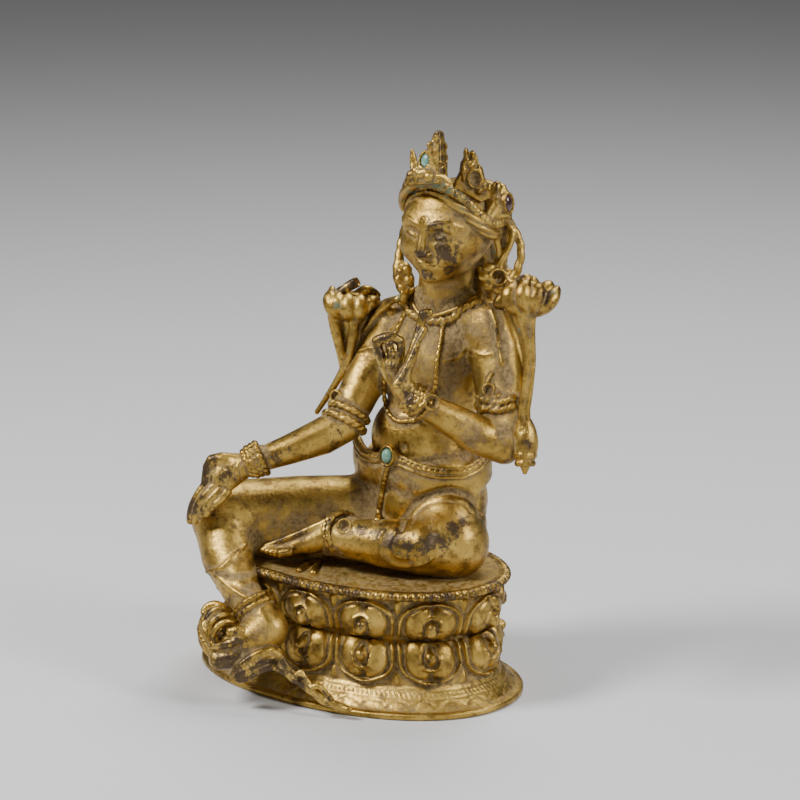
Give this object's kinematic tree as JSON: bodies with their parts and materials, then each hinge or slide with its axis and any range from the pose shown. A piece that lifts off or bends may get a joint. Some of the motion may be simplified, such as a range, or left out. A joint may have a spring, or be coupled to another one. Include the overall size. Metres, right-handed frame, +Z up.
{
  "type": "seated goddess figure",
  "caption": "Small gilt copper-alloy seated goddess on an oval double-lotus plinth, one leg hanging to a small lotus, lotuses at both shoulders.",
  "frame": {"origin": "centre of the plinth's flat underside, on the ground", "axes": "+Z up, the figure faces -Y, and the figure's own left side is towards +X"},
  "size_m": [0.1038, 0.0797, 0.1503],
  "materials": {
    "gilt_copper": "fire-gilded copper alloy, satin, with dust in the recesses and dark wear on the edges",
    "turquoise": "dull polish",
    "dark_red_stone": "polished"
  },
  "bodies": {
    "root": {"gilt_figure_and_plinth": "gilt_copper", "crown_turquoise": "turquoise", "belt_turquoise": "turquoise", "rosette_stone": "dark_red_stone"}
  },
  "joints": []
}
